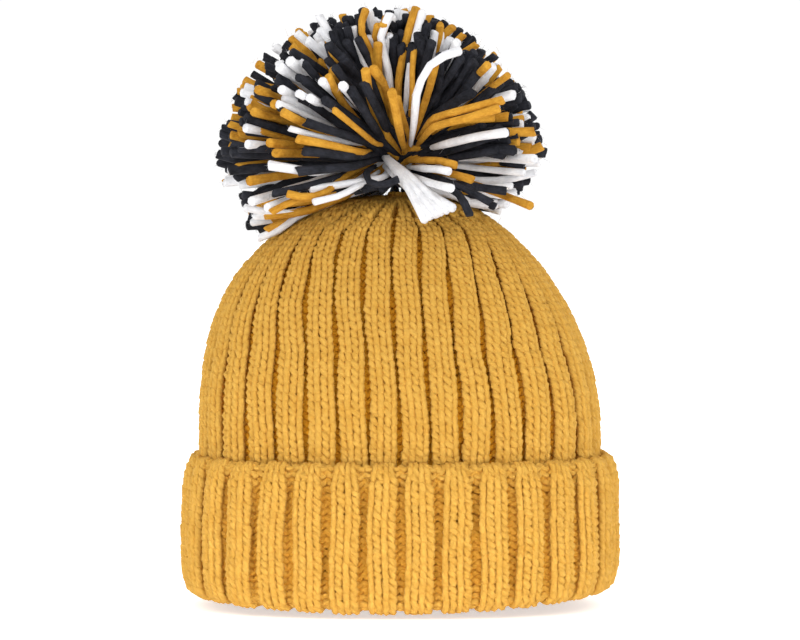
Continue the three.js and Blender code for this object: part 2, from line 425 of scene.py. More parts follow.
# How the ribs change along the fabric: from the cast-on edge to the cuff, through the fold and
# up inside the brim to the body. The ribs drift by half a rib there, so that the cuff and the
# body both have a valley in the middle of the front.
BODY_FROM = body_walk(CUFF_TOP - 8)  # a little below the cuff's edge
LANDMARKS = (row_walk(0), row_walk(1), row_walk(3.2), FOLD_WALK - 14, FOLD_WALK,
             FOLD_WALK + 14, BODY_FROM)
KNIT_SHARE = (0.27, 0.29, 0.395, 0.395, 0.38, 0.40, 0.43)  # one knit wale's share of a rib
RIB_DEPTH = (0.0, 0.4, 2.2, 2.2, 0.2, 0.7, 1.8)  # how far the knit wales stand forward
FACE_DEPTH = (0.75, 1.0, 1.0, 1.0, 0.8, 0.8, 1.0)  # how far legs stand off, as a share
PAINTED_SHADE_SHARE = (0.0, 0.0, 0.45, 0.55, 0.1, 1.0, 1.0)  # how much painted shade the valleys take; the cuff is open to the light, so less
SIDE_STRETCH = (0.0, 0.0, 0.0, 0.0, 0.0, 0.02, 0.09)  # ribs are wider by this at the sides
RIB_SHIFT = (0.0, 0.0, 0.0, 0.0, 0.0, 0.05, 0.5)

# Towards the crown the ribs stay wide at the front and back, and are gathered at the sides.
GATHER_WALKS = (body_walk(130), body_walk(165), body_walk(187), crown_walk(23))
GATHER_STRETCH = (0.0, -0.2, -0.5, 0.0)

FULL, HALVED, GATHERED = 4, 2, 1  # wales in each rib: the crown is decreased twice
HALVED_HALF_WIDTH = 40.0
GATHERED_HALF_WIDTH = 23.0
HALVED_KNIT_SHARE = 0.68  # after the first decrease, the one knit wale's share of a rib


def along_fabric(values, walk):
    return float(np.interp(walk, LANDMARKS, values))


def rib_places(length, walk):
    """Where each rib's middle lies on the walk round the hat, and how wide it is."""
    edges = (np.arange(RIBS + 1) + along_fabric(RIB_SHIFT, walk)) / RIBS
    stretch = along_fabric(SIDE_STRETCH, walk) + np.interp(walk, GATHER_WALKS, GATHER_STRETCH)
    places = length * (edges + stretch * np.sin(4 * math.pi * edges) / (4 * math.pi))
    return (places[1:] + places[:-1]) / 2, np.diff(places)


def wale_places(length, walk, wales):
    """For one row: each wale's place on the walk round the hat, its loop's width, and which
    side of the fabric its legs are on."""
    middle, pitch = rib_places(length, walk)
    if wales == FULL:
        width = np.minimum(along_fabric(KNIT_SHARE, walk) * pitch, WIDEST_WALE)
        half = width / 2
        widths = (width,) * FULL
        offsets = (-half, half, pitch / 2 - half, pitch / 2 + half)
        sides = (1, 1, -1, -1)
    elif wales == HALVED:
        widths = (HALVED_KNIT_SHARE * pitch, (1 - HALVED_KNIT_SHARE) * pitch)
        offsets = (0 * pitch, pitch / 2)
        sides = (1, -1)
    else:
        widths = (pitch,)
        offsets = (0 * pitch,)
        sides = (1,)
    sway = SWAY * np.sin(walk / SWAY_LENGTH + NEXT_SWAY * np.arange(RIBS))
    places = np.stack([middle + sway + offset for offset in offsets], -1).ravel()
    return places, np.stack(widths, -1).ravel(), np.tile(sides, RIBS)


def loop_row(row, wales, steps, thickness):
    """The yarn of one row of stitches: its points round the hat, the yarn's radius, and its share
    of painted shade, from 0 to 1, more the deeper it lies as seen from the side that shows on the
    finished hat."""
    walk = row_walk(row)
    row_height = CUFF_ROW if row < FOLD_ROW else BODY_ROW
    angles, section = section_walk(walk)
    length = section[-1]
    place, width, side = wale_places(length, walk, wales)
    count = len(place)
    wobble = np.random.default_rng(1000 + row).normal(0, 1, (5, count, 1)).clip(-2, 2)
    ahead = np.append(place[1:], place[0] + length)
    right_step = ((ahead - place) / 2)[:, None]
    left_step = np.roll(right_step, 1)
    half = (width / 2)[:, None]
    turn = turns(steps)
    face = side[:, None]

    beaded_first = np.where(turn < math.pi, BEADED_SLANT, SMOOTH_SLANT)
    smooth_first = np.where(turn < math.pi, SMOOTH_SLANT, BEADED_SLANT)
    slant = np.where(face > 0, beaded_first, smooth_first) * (1 + UNEVEN_SLANT * wobble[0])
    near_end = (1 + np.cos(2 * turn)) / 2
    across = half * (turn / math.pi - 1) + slant * half * np.sin(2 * turn)
    across = across + np.where(turn < math.pi / 2, (half - left_step) * near_end, 0)
    across = across - np.where(turn > 1.5 * math.pi, (half - right_step) * near_end, 0)
    across = across + UNEVEN_SIDE * wobble[4] * np.sin(turn / 2)

    narrow = np.minimum(half / FULL_HALF_WALE, 1)
    rib_turn = (np.arange(count)[:, None] % wales + turn / FULL_TURN) * FULL / wales - 1
    ridge = along_fabric(RIB_DEPTH, walk) if wales > GATHERED else 0
    off = face * LEG_DEPTH * along_fabric(FACE_DEPTH, walk) * (1 - np.cos(2 * turn)) * narrow
    off = off + ridge * np.cos(math.pi * rib_turn / 2)
    off = off + UNEVEN_DEPTH * wobble[1] * np.sin(turn) ** 2

    near_edge = math.exp(-row / 2)
    short, long = (step * np.arange(count) for step in RIPPLE_STEPS)
    ripple = np.sin(short) + np.sin(long + 2)
    up = -LOOP_REACH * row_height * np.cos(turn) + UNEVEN_HEIGHT * wobble[2]
    up = up + near_edge * (UNEVEN_EDGE * wobble[2] + EDGE_RIPPLE * ripple[:, None])
    radius = np.clip(YARN_SHARE * half + YARN_SPARE, THINNEST_YARN, thickness)
    radius = radius * (1 - LINK_SQUEEZE * (1 + np.cos(2 * turn))) * (1 + UNEVEN_YARN * wobble[3])
    angle = np.interp((place[:, None] + across).ravel() % length, section, angles)
    # Painted shade: yarn deep in a valley, on the side that shows, is coloured towards a warmer
    # brown.
    height = off if row >= FOLD_ROW else -off
    depth = along_fabric(PAINTED_SHADE_SHARE, walk) * np.clip((PAINTED_SHADE_FROM - height) / PAINTED_SHADE_RANGE, 0, 1)
    along = np.maximum(walk + up, 0).ravel()  # the first row's loops end at the cast-on edge
    return off_fabric(angle, along, off.ravel()), radius.ravel(), depth.ravel()


def knit_band(name, first, last, node, wales=FULL, steps=10, sides=6, thickness=YARN, fuzz=900):
    """A band of rows, each one yarn all the way round, as a piece of its own."""
    rows = [loop_row(row, wales, steps, thickness) for row in range(first, last)]
    paths, radii, painted_shades = (np.array(values) for values in zip(*rows))
    parts = [tubes(paths, radii, sides, True)]
    if fuzz:
        parts.append(loose_fibres(parts[0][0], fuzz, KNIT_FIBRE_LENGTH, KNIT_FIBRE, first))
    vertices, faces, uvs = joined(parts)
    # Painted shade for each ring of the yarn's tubes; the loose fibres take none.
    depth = np.zeros(len(vertices))
    depth[:painted_shades.size * sides] = np.repeat(painted_shades.ravel(), sides)
    piece = make_mesh(name, vertices, faces, uvs, KNIT_YARN, depth)
    return settle(piece, "hat", "knit_mustard", node)


def make_cuff():
    """Two bands of as many rows each: one from the cast-on edge, and one down to the fold."""
    half_way = (FOLD_ROW + 1) // 2
    knit_band("cuff_knit_top", 0, half_way, "turned_up_cuff")
    knit_band("cuff_knit_fold", half_way, FOLD_ROW + 1, "turned_up_cuff")


def make_body():
    covered = body_row(BODY_FROM)
    halved = body_row(crown_walk(HALVED_HALF_WIDTH))
    gathered = body_row(crown_walk(GATHERED_HALF_WIDTH))
    end = body_row(crown_walk(CROWN_END))
    knit_band("brim_inside_knit", FOLD_ROW + 1, covered, "ribbed_body",
              steps=8, sides=5, thickness=YARN - 0.25, fuzz=0)
    names = ("lower", "middle", "upper", "shoulder", "crown")
    edges = np.linspace(covered, halved, len(names) + 1).round().astype(int)
    for name, first, last in zip(names, edges[:-1], edges[1:]):
        knit_band(f"body_knit_{name}", first, last, "ribbed_body")
    knit_band("crown_knit_halved", halved, gathered, "ribbed_body", wales=HALVED)
    knit_band("crown_knit_gathered", gathered, end + 1, "ribbed_body", wales=GATHERED)


# ---- The crown's drawstring, the seam, the label and the knot ----

CLOSED = 0.02  # the radius that closes off a tube's end
END_CAP = 0.2  # how far the closed end stands out
WAVES = 16  # the gathering yarn goes in and out this many times


def tube_piece(name, paths, radius, sides, closed, material, body, slot, *nodes):
    """Tubes of one radius round one or more paths, as one piece."""
    paths = np.array(paths)
    if paths.ndim == 2:
        paths = paths[None]
    radii = np.full(paths.shape[:2], radius)
    if not closed:
        radii[:, 0] = radii[:, -1] = CLOSED
    piece = make_mesh(name, *tubes(paths, radii, sides, closed), material)
    return settle(piece, body, slot, *nodes)


def twisted(path, plies, twist_length, lay_radius):
    """The plies that wind round an open path, each with its ends closed off."""
    path = np.array(path)
    side, other = carried_frames(path[None], False)
    walk = path_walk(path[None], False)[0]
    strands = []
    for ply in range(plies):
        turn = FULL_TURN * (walk / twist_length + ply / plies)
        strand = path + lay_radius * (side[0] * np.cos(turn)[:, None]
                                      + other[0] * np.sin(turn)[:, None])
        strands.append(np.concatenate([strand[:1], strand, strand[-1:]]))
        strands[-1][0] -= unit(strand[1] - strand[0]) * END_CAP
        strands[-1][-1] += unit(strand[-1] - strand[-2]) * END_CAP
    return strands


def make_gathering_yarn():
    """It runs in and out of the last row's loops and pulls them together."""
    middle, reach = node_middle("crown_gathering_yarn")
    yarn, wave_out, wave_up = 1.0, 0.45, 0.7
    turn = turns(12 * WAVES)
    out = reach[0] - yarn - 0.2 + wave_out * np.cos(WAVES * turn)
    up = middle[2] + wave_up * np.sin(WAVES * turn)
    path = np.stack([out * np.cos(turn), out * np.sin(turn), up], -1)
    tube_piece("crown_gathering_yarn_twist", path, yarn, 8, True, SEAM_YARN, "hat",
               "seam_mustard", "crown_gathering_yarn")


def make_back_seam():
    """Overcast stitches down the inside of the back, where the fabric's edges meet."""
    low, high = node_box("back_seam")
    spare, stitch_length, half_stitch, steps = 3, 4.2, 1.2, 10
    inside, ripple, yarn, narrowest = -5.4, 0.8, 0.85, 20
    start, end = body_walk(low[2] + spare), body_walk(high[2] - spare)
    count = int((end - start) / stitch_length) * steps
    stitches = np.arange(count) / steps
    turn = stitches * FULL_TURN
    walk = start + stitches * stitch_length
    half_width = np.maximum(np.interp(walk, OUTLINE_WALK, OUTLINE_OUT), narrowest)
    lean = half_stitch * np.cos(turn) / half_width
    path = off_fabric(math.pi / 2 + lean, walk, inside + ripple * np.sin(turn))
    tube_piece("back_seam_stitches", path, yarn, 8, False, SEAM_YARN, "hat",
               "seam_mustard", "back_seam")


def make_care_label():
    """A blank woven tape, caught in the seam by one end."""
    low, high = node_box("care_label")
    columns, rows, half_thick, waviness = 29, 21, 0.2, 0.35
    x = np.linspace(low[0], high[0], columns)
    z = np.linspace(low[2], high[2], rows)
    across, up = np.meshgrid(x, z, indexing="ij")
    share = (across - low[0]) / (high[0] - low[0])
    wave = waviness * np.sin(2.6 * share + 0.3 * np.sin(up / 5)) * share
    layers = [np.stack([across, (low[1] + high[1]) / 2 - wave + side * half_thick, up], -1)
              for side in (-1, 1)]
    vertices = np.concatenate([layer.reshape(-1, 3) for layer in layers])
    number = np.arange(columns * rows).reshape(columns, rows)
    front = np.stack([number[:-1, :-1], number[1:, :-1], number[1:, 1:], number[:-1, 1:]], -1)
    front = front.reshape(-1, 4)
    back = front[:, ::-1] + number.size
    rim = np.concatenate([number[:, 0], number[-1, 1:], number[-2::-1, -1], number[0, -2:0:-1]])
    ahead = np.roll(rim, -1)
    edge = np.stack([rim, rim + number.size, ahead + number.size, ahead], -1)
    faces = np.concatenate([front, back, edge])
    piece = make_mesh("care_label_tape", vertices, faces, None, TAPE)
    settle(piece, "hat", "label_cloth", "care_label")


def make_anchor():
    """The tie's two ends, going down through the crown to a knot inside it."""
    ply, ply_lay, ply_length, waviness = 0.55, 0.5, 4.0, 0.2
    for side in ("left", "right"):
        node = f"anchor_tail_{side}"
        low, high = node_box(node)
        height = np.linspace(low[2], high[2], 32)
        across = np.full_like(height, (low[0] + high[0]) / 2)
        path = np.stack([across, waviness * np.sin(height / 3), height], -1)
        tube_piece(f"{node}_cord", twisted(path, 2, ply_length, ply_lay), ply, 8, False,
                   TIE_CORD, "anchor", "tie_cord", node)
    middle, reach = node_middle("anchor_knot")
    cord, loop_share = 1.2, 0.34  # a trefoil knot, by its textbook formula
    turn = turns(96)
    out = (reach[0] - cord - 0.1) * (1 - loop_share + loop_share * np.cos(3 * turn))
    path = np.stack([out * np.cos(2 * turn), out * np.sin(2 * turn),
                     (reach[2] - cord) * np.sin(3 * turn)], -1)
    tube_piece("anchor_knot_cord", middle + path, cord, 10, True, TIE_CORD,
               "hat", "tie_cord", "anchor_knot")


# ---- Pom-pom ----

STRAND = 1.95  # radius of a cut strand near its end
LONGEST = 82.0
LEAN_LEFT = 9.0  # the pom-pom is cut longer on its left
TOP_TRIM = 8.5
LOW_TRIM = 25.0  # strands that point down are cut shorter, by a share of this
LOW_RIGHT_TRIM = 14.0  # and more so on the right
CROWN_SLOPE = math.radians(-28)  # strands can't point lower than this: the crown is there
LOW_SAG = 14.0  # strands in the low row sag towards the crown
LEVEL_SPLIT = math.radians(-13)  # strands lower than this lie on the crown and stay with it
PATH_POINTS = 12
BUNDLES = 600
GOLDEN_ANGLE = math.pi * (3 - math.sqrt(5))
SHAKEN, STRAND_SHAKEN = 0.05, 0.085  # how far bundles, and strands in them, stray from their way
BENT, STRAND_BENT = 8.5, 2.5  # and how far they bend off it
TRIMMED, TRIM_STRAY, STRAND_TRIM_STRAY = 0.94, 0.06, 0.03  # shares of their full length
THICKNESS_STRAY = 0.09
COLOUR_STRAY = 0.4
END_SLANT = 0.28
BUNDLE_SIZES = {"pom_navy": (3, 7), "pom_white": (1, 5), "pom_mustard": (1, 4)}
FIBRES_PER_STRAND = 11
COLOURS = {"pom_navy": 0.36, "pom_white": 0.31, "pom_mustard": 0.33}
FRONT_COLOURS = {"pom_navy": 0.74, "pom_white": 0.12, "pom_mustard": 0.14}
FACES_FRONT = -0.5  # bundles that point further forward than this take the front's colours
MIX_REACH = math.radians(22)  # colours keep to their shares among bundles this close together
FRONT_PARTING = 40.0  # degrees round the tie's axis in which no bundle points to the front
BACK_PARTING = 32.0
PARTING_EDGE = 40.0  # over this much more, the bundles become as dense as elsewhere

# Bundles that point further forward than LOW_FRONT_Y aren't lower than LOW_FRONT. In the middle,
# where the crown shows, those further forward than LOW_FACE_Y aren't lower than LOW_FACE.
LOW_FRONT_Y, LOW_FRONT = -0.35, math.radians(4)
LOW_FACE_Y, LOW_FACE, FACE_HALF = -0.1, math.radians(-4), 0.72


def direction(azimuth, elevation):
    return np.stack([np.cos(elevation) * np.cos(azimuth), np.cos(elevation) * np.sin(azimuth),
                     np.sin(elevation)], -1)


def strand_reach(way):
    """From the tie to the cut ends, in a direction: longest to the left."""
    low_trim = LOW_TRIM + LOW_RIGHT_TRIM * way[0]
    return (LONGEST - LEAN_LEFT * way[0] - TOP_TRIM * max(way[2], 0)
            - low_trim * max(-way[2], 0))


def bundle_ways(random):
    """Directions for bundles of strands, spread evenly and then shaken. Few point straight to
    the front or the back, where the tie's ring opens, and none low in front, where the crown
    shows."""
    ways = []
    for i in range(BUNDLES):
        rise = 1 - (1 - math.sin(CROWN_SLOPE)) * (i + 0.5) / BUNDLES
        way = unit(direction(i * GOLDEN_ANGLE, math.asin(rise)) + random.normal(0, SHAKEN, 3))
        elevation = math.asin(way[2])
        off_axis = math.degrees(math.acos(min(abs(way[1]), 1)))
        parting = FRONT_PARTING if way[1] < 0 else BACK_PARTING
        keep = np.clip((off_axis - parting) / PARTING_EDGE, 0, 1)
        low_in_front = way[1] < LOW_FRONT_Y and elevation < LOW_FRONT
        low_on_face = way[1] < LOW_FACE_Y and elevation < LOW_FACE and abs(way[0]) < FACE_HALF
        if random.random() < keep and not low_in_front and not low_on_face:
            ways.append(way)
    return ways


def crown_surface():
    """Points all over the outside of the crown's knitting."""
    half_width, rings, spokes = 95, 60, 90
    walks = np.linspace(crown_walk(half_width), OUTLINE_WALK[-1] - 1, rings)
    angle, walk = (grid.ravel() for grid in np.meshgrid(turns(spokes), walks))
    return off_fabric(angle, walk, np.full(angle.size, HALF_FABRIC))


CROWN_SURFACE = crown_surface()


def clear_of_crown(path, radius):
    """A path from the tie, lifted where a strand along it would run into the crown."""
    across = path[:, None, :2] + TIE[:2] - CROWN_SURFACE[None, :, :2]
    below = CROWN_SURFACE[np.argmin(np.sum(across ** 2, -1), 1), 2]
    lifted = path.copy()
    lifted[:, 2] = np.maximum(path[:, 2], below + radius - TIE[2])
    return lifted


def is_low(node):
    """Whether a tuft is in the row that lies on the crown."""
    return node.startswith("pom_tuft_low")


def same_kind(node, other):
    """Whether two tufts are of one colour and move with the same body."""
    return SLOT_OF[node] == SLOT_OF[other] and is_low(node) == is_low(other)


def nearest_tuft(way, slot):
    """The CAD tuft of that colour nearest to a direction, on the body it has to move with."""
    low = way[2] < math.sin(LEVEL_SPLIT)
    able = [node for node in TUFT_WAYS if SLOT_OF[node] == slot and is_low(node) == low]
    return max(able, key=lambda node: float(np.dot(TUFT_WAYS[node], way)))


TUFT_WAYS = {node: unit(sum(node_box(node)) / 2 - TIE)
             for node in SLOT_OF if node.startswith("pom_tuft")}


RING_HALF, RING_FRONT = 4.0, 2.0  # strands leave the tie's ring this near its axis, this far out
RING_SPREAD = 1.2
STRAIGHT_ON, STRAIGHT_STRAY = 4.0, 5.0  # they go straight on at first, and then turn out
WAY_SHARE, BEND_SHARE = 0.45, 0.8  # how far out they take their own way, and bend off it


def radial_strand(way, reach, bend, random):
    """A Bezier curve that leaves the tie's ring by its front or back and turns out on its way."""
    side = -1.0 if way[1] < 0 else 1.0
    start = np.array([random.uniform(-RING_HALF, RING_HALF), side * RING_FRONT,
                      random.uniform(-RING_HALF, RING_HALF)])
    straight_on = STRAIGHT_ON + STRAIGHT_STRAY * random.random()
    turn_out = start * RING_SPREAD + np.array([0, side * straight_on, 0])
    on_way = way * reach * WAY_SHARE + bend * BEND_SHARE
    end = way * reach
    share = np.linspace(0, 1, PATH_POINTS)[:, None]
    stay = 1 - share
    return (start * stay ** 3 + 3 * turn_out * stay ** 2 * share
            + 3 * on_way * stay * share ** 2 + end * share ** 3)


def drawn_strand(points):
    """A smooth path through given points."""
    points = np.array(points, float)
    share = np.linspace(0, 1, len(points))
    fine = np.linspace(0, 1, PATH_POINTS * 4)
    line = np.stack([softened(np.interp(fine, share, part), mode="reflect", reflect_type="odd")
                     for part in points.T], -1)
    walk = path_walk(line[None], False)[0]
    even = np.linspace(0, walk[-1], PATH_POINTS)
    return np.stack([np.interp(even, walk, part) for part in line.T], -1)


def bundle_colour(way, placed, random):
    """A colour for a bundle, picked so that the bundles near it keep to the mix."""
    mix = FRONT_COLOURS if way[1] < FACES_FRONT else COLOURS
    near = [slot for other, slot in placed if float(np.dot(other, way)) > math.cos(MIX_REACH)]
    shortage = {slot: share * (len(near) + 1) - near.count(slot)
                + random.normal(0, COLOUR_STRAY) for slot, share in mix.items()}
    return max(shortage, key=shortage.get)


def random_strands(random):
    """Most of the pom-pom: bundles of strands of one colour, as they came off the winding."""
    strands = {node: [] for node in TUFT_WAYS}
    placed = []
    for way in bundle_ways(random):
        slot = bundle_colour(way, placed, random)
        placed.append((way, slot))
        node = nearest_tuft(way, slot)
        shared_bend = random.normal(0, BENT, 3)
        if is_low(node):
            shared_bend[2] = -abs(shared_bend[2]) - LOW_SAG
        shared_trim = random.normal(TRIMMED, TRIM_STRAY)
        for _ in range(random.integers(*BUNDLE_SIZES[slot])):
            own_way = unit(way + random.normal(0, STRAND_SHAKEN, 3))
            own_way[2] = max(own_way[2], math.sin(CROWN_SLOPE))
            own_way = unit(own_way)
            trim = min(shared_trim * random.normal(1, STRAND_TRIM_STRAY), 1.0)
            bend = shared_bend + random.normal(0, STRAND_BENT, 3)
            path = radial_strand(own_way, strand_reach(own_way) * trim, bend, random)
            radius = STRAND * random.normal(1, THICKNESS_STRAY)
            strands[node].append((clear_of_crown(path, radius), radius))
    return strands


# Strands that stand out in front, by colour: radius, and points from the tie (right, back
# and up).
FRONT_STRANDS = {
    "pom_navy": [
        (2.6, [(-6, -8, 6), (-13, -36, 16), (-19, -48, 26), (-24, -52, 34)]),
        (2.6, [(-5, -8, 8), (-9, -36, 20), (-14, -48, 30), (-18, -50, 38)]),
        (2.5, [(-8, -8, 4), (-22, -40, 10), (-34, -50, 14), (-46, -52, 18)]),
        (2.5, [(-8, -8, 2), (-24, -44, 1), (-36, -50, 3), (-47, -50, 4)]),
        (2.5, [(-8, -8, 0), (-24, -44, -4), (-38, -50, -5), (-50, -50, -6)]),
        (2, [(-12, -8, -4), (-17, -36, -7), (-15, -46, -12), (-8, -47, -13), (-1, -46, -10)]),
        (2.1, [(6, -7, -7), (22, -44, -13), (30, -54, -18), (34, -58, -27)]),
        (2.1, [(6, -7, -6), (20, -42, -10), (33, -52, -15), (44, -56, -21)]),
        (2.1, [(-12, -6, -3), (-30, -38, -9), (-48, -46, -14), (-62, -48, -17)]),
        (2.2, [(-3, -7, -7), (-14, -26, -12), (-30, -36, -14), (-48, -40, -18)]),
        (2.2, [(3, -7, -7), (14, -24, -11), (30, -36, -13), (52, -38, -16)]),
        (2.2, [(0, -7, -8), (-6, -22, -12), (-17, -34, -14), (-30, -40, -17)]),
        (2.2, [(0, -7, -8), (6, -20, -11), (18, -32, -12), (38, -38, -14)]),
        (2.2, [(-2, -6, -9), (-4, -14, -13), (-10, -24, -14), (-22, -34, -16)]),
        (2.2, [(-3, -6, -4), (-5, -14, -9), (0, -24, -13), (11, -38, -15)]),
        (2.2, [(-2, -6, -6), (-7, -14, -11), (-11, -26, -13), (-17, -38, -15)]),
        (2.2, [(2, -5, -7), (-2, -10, -11), (-5, -18, -13), (-9, -28, -15)]),
        (2.2, [(2, -6, -7), (3, -12, -12), (4, -24, -14), (8, -34, -16)]),
    ],
    "pom_white": [
        (2.3, [(5, -8, 4), (7, -44, 18), (8, -58, 34), (14, -62, 46), (22, -60, 51),
               (29, -56, 53)]),
        (1.6, [(-12, -6, 6), (-25, -38, 8), (-40, -48, 11), (-54, -50, 15)]),
        (2.5, [(-10, -6, -1), (-30, -28, -7), (-46, -48, -6), (-64, -50, -3)]),
        (1.9, [(-9, -6, -6), (-18, -38, -12), (-29, -46, -18), (-42, -50, -21)]),
        (2.1, [(4, -7, -5), (12, -36, -5), (18, -46, -5), (24, -52, -6)]),
        (2.2, [(4, -7, -8), (12, -42, -11), (20, -56, -13), (25, -62, -14)]),
        (2.2, [(-3, -6, 14), (-5, -24, 40), (-10, -30, 60), (-5, -30, 71)]),
        (2.1, [(2, -6, 12), (4, -30, 38), (7, -28, 58), (11, -22, 72)]),
        (2.2, [(-8, -5, 14), (-24, -20, 42), (-32, -20, 56), (-40, -14, 70)]),
        (2.4, [(10, -5, 3), (22, -34, 7), (38, -44, 11), (52, -48, 13)]),
        (2.1, [(-2, -7, -7), (-10, -30, -10), (-24, -40, -12), (-44, -44, -15)]),
    ],
    "pom_mustard": [
        (2.4, [(3, -6, 1), (1, -26, 8), (-1, -50, 18), (-4, -62, 33)]),
        (1.6, [(5, -6, 4), (4, -24, 12), (1, -40, 22), (-1, -50, 30)]),
        (2.5, [(-2, -6, 8), (-5, -20, 26), (-8, -40, 37), (-13, -54, 44)]),
        (2.3, [(7, -5, 6), (16, -44, 20), (30, -58, 24), (50, -62, 29)]),
        (2.3, [(7, -5, 4), (16, -46, 16), (32, -60, 20), (48, -64, 25)]),
        (1.7, [(-6, -6, 6), (-12, -32, 7), (-20, -48, 14), (-32, -58, 24)]),
        (2.3, [(-12, -6, 3), (-20, -40, 3), (-34, -50, 7), (-50, -54, 10)]),
        (2, [(-10, -6, -1), (-26, -34, -8), (-37, -46, -17), (-46, -50, -19), (-55, -52, -17)]),
        (1.9, [(-12, -6, -3), (-40, -40, -19), (-52, -48, -20), (-63, -50, -26)]),
        (2.1, [(2, -6, -2), (12, -30, -1), (20, -42, -1), (27, -48, -3)]),
        (2.2, [(6, -7, -4), (18, -36, -6), (28, -46, -8), (35, -52, -10)]),
        (2.3, [(0, -6, 14), (-1, -26, 38), (4, -26, 62), (8, -20, 74)]),
        (1.6, [(4, -6, 10), (6, -32, 30), (6, -36, 44), (7, -34, 54)]),
        (2, [(-4, -5, 16), (-13, -28, 50), (-20, -24, 64), (-17, -20, 73)]),
        (1.8, [(10, -5, 8), (24, -34, 18), (36, -40, 19), (46, -44, 20)]),
        (2.4, [(12, -5, 5), (30, -26, 11), (50, -32, 13), (66, -30, 13)]),
    ],
}

# Strands whose ends alone stand out in front: radius, and the end's place from the tie.
FRONT_ENDS = {
    "pom_white": [
        (2.4, (-28, -54, 36)), (2.4, (-38, -50, 38)), (2.3, (-44, -52, 30)),
        (2.7, (-59, -42, 45)), (2.7, (-54, -42, 48)), (2.4, (-58, -46, 34)), (2.3, (-75, -38, 7)),
        (2.3, (-76, -36, 15)), (2.4, (-73, -42, -21)), (2.3, (-65, -48, -24)),
        (2.3, (66, -44, 0)), (2.3, (28, -38, 57)),
    ],
    "pom_mustard": [
        (2.3, (-33, -42, 43)), (2.3, (-70, -36, 34)), (2.3, (-72, -36, 23)),
        (2.3, (-62, -44, 27)), (2.3, (-64, -48, 8)), (2.3, (-61, -50, 3)), (2.5, (-74, -42, -11)),
        (2.2, (64, -46, -23)), (2.2, (43, -42, 46)), (1.8, (53, -42, 41)),
    ],
}
END_SHAPE = ((0.15, 0.1), (0.5, 0.3), (0.78, 0.58), (1, 1))  # shares of the way: out, and forward
FRONT_REACH = 1.14  # how far forward they come, over the random strands
FRONT_THINNING = 0.88  # they are nearer the eye, and look thicker than the rest
PLACED_RADIUS = 2.0

# The white fan over the front of the crown: its first strand's points from the tie, how far its
# last strand's points lie from those, and what every other strand adds.
FAN_STRANDS = 6
FAN_FIRST = np.array([(-3, -5, 0), (-9, -14, 1), (1, -46, -9), (12, -63, -29.5)])
FAN_SPREAD = np.array([(0, 0, 0), (2, 0, 0), (5, 0, 0), (14, 0, 5.5)])
FAN_STAGGER = np.array([(0, 0, 0), (0, 0, -5), (0, 0, -3), (0, 0, 0)])

# The navy collar that hides the gap between the tie and the crown: how far out and up it is.
COLLAR_STRANDS = 18
COLLAR_ENDS = np.radians((-20, 200))
COLLAR_SHAPE = ((2, -4), (8, -8), (14, -13), (26, -17), (50, -24))


def front_strands():
    """The listed strands, the white fan and the navy collar."""
    strands = {node: [] for node in TUFT_WAYS}
    placed = [(slot, radius, points)
              for slot, rows in FRONT_STRANDS.items() for radius, points in rows]
    placed += [(slot, radius, [np.array(end) * (out, ahead, out) for out, ahead in END_SHAPE])
               for slot, rows in FRONT_ENDS.items() for radius, end in rows]
    for slot, radius, points in placed:
        path = clear_of_crown(drawn_strand(np.array(points) * (1, FRONT_REACH, 1)), radius)
        strands[nearest_tuft(unit(path[-1]), slot)].append((path, FRONT_THINNING * radius))
    low_white = nearest_tuft(direction(-math.pi / 2, CROWN_SLOPE), "pom_white")
    for i, share in enumerate(np.linspace(0, 1, FAN_STRANDS)):
        path = drawn_strand(FAN_FIRST + share * FAN_SPREAD + i % 2 * FAN_STAGGER)
        strands[low_white].append((path, PLACED_RADIUS))
    for azimuth in np.linspace(*COLLAR_ENDS, COLLAR_STRANDS):
        out = direction(azimuth, 0)
        points = [out * far + (0, 0, up) for far, up in COLLAR_SHAPE]
        path = clear_of_crown(drawn_strand(points), PLACED_RADIUS)
        strands[nearest_tuft(unit(path[-1]), "pom_navy")].append((path, PLACED_RADIUS))
    return strands


ROOT_SHARE, FULL_FROM = 0.42, 0.55  # a strand starts this thin, and is full from here on
END_FLARE, FLARE_FROM = 0.16, 0.8  # and frays a little wider near its cut end


def strand_rings(path, radius):
    """The path with its ends closed: thin where it leaves the tie, blunt where it was cut."""
    rim, rim_share, end = 0.45, 0.95, 0.6  # the cut end's rounded rim, and its middle
    along = unit(path[-1] - path[-2])
    share = np.linspace(0, 1, len(path))
    swell = ROOT_SHARE + (1 - ROOT_SHARE) * np.clip(share / FULL_FROM, 0, 1) ** 0.8
    flare = 1 + END_FLARE * np.clip((share - FLARE_FROM) / (1 - FLARE_FROM), 0, 1)
    points = [path[0] - unit(path[1] - path[0]) * END_CAP, *path,
              path[-1] + along * rim, path[-1] + along * end]
    radii = [CLOSED, *(radius * swell * flare), radius * rim_share, CLOSED]
    return np.array(points), np.array(radii)


def slant_the_ends(grid, random):
    """Tilts the flat cut at the end of each strand, as scissors leave it."""
    middle = grid[:, -2].mean(1, keepdims=True)
    along = unit(middle - grid[:, -3].mean(1, keepdims=True))
    tilt = random.normal(0, END_SLANT, (len(grid), 1, 3))
    grid[:, -2] += along * np.sum((grid[:, -2] - middle) * tilt, -1, keepdims=True)


STRAND_SIDES = 8
POM_FIBRE_LENGTH, POM_FIBRE = 2.6, 0.055


